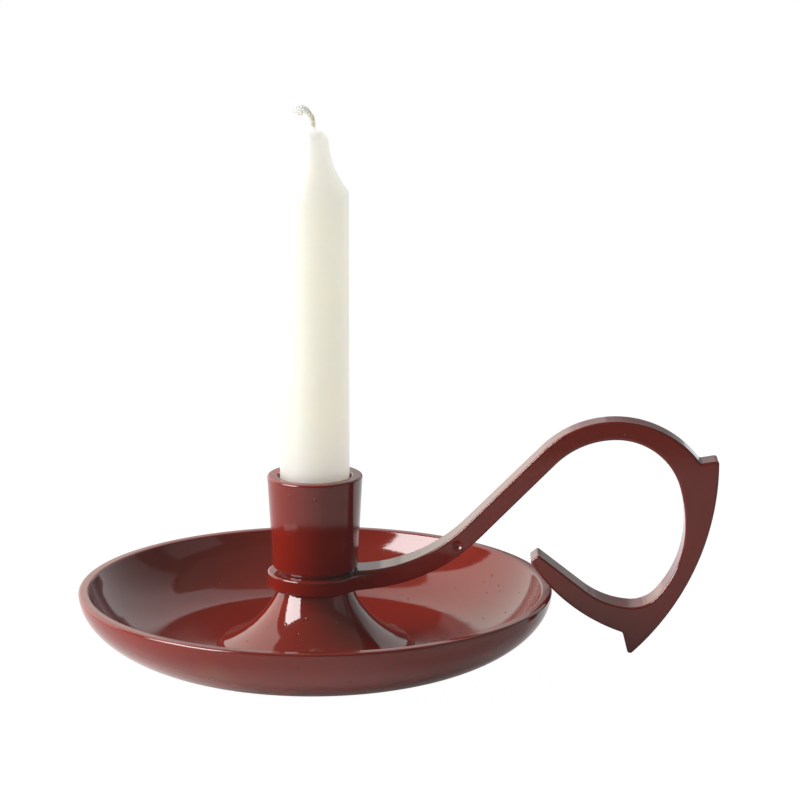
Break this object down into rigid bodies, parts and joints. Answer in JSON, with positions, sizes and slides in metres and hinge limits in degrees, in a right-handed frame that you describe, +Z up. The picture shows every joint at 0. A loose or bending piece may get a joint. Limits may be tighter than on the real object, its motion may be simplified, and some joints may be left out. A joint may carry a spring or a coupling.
{
  "type": "chamberstick",
  "caption": "Enamelled cast chamberstick: round drip pan, flared foot, tapered candle cup and a strap handle with an open finger loop, holding a plain candle.",
  "frame": {"origin": "centre of the pan's flat underside, on the table", "axes": "+Z up along the candle, +X towards the handle, +Y to the back"},
  "size_m": [0.202, 0.15, 0.177],
  "materials": {
    "red_enamel": "glossy oxblood enamel",
    "steel": "zinc plated",
    "wax": "cream candle wax",
    "cotton": "braided cotton"
  },
  "bodies": {
    "holder": {"drip_pan": "red_enamel", "pedestal": "red_enamel", "handle": "red_enamel", "candle_cup": "red_enamel", "tie_screw": "steel", "washer": "steel"},
    "candle": {"candle": "wax", "wick": "cotton"}
  },
  "joints": [
    {"name": "candle_lift", "type": "slide", "parent": "holder", "child": "candle", "axis": [0, 0, 1], "range_m": [0, 0.03]}
  ]
}
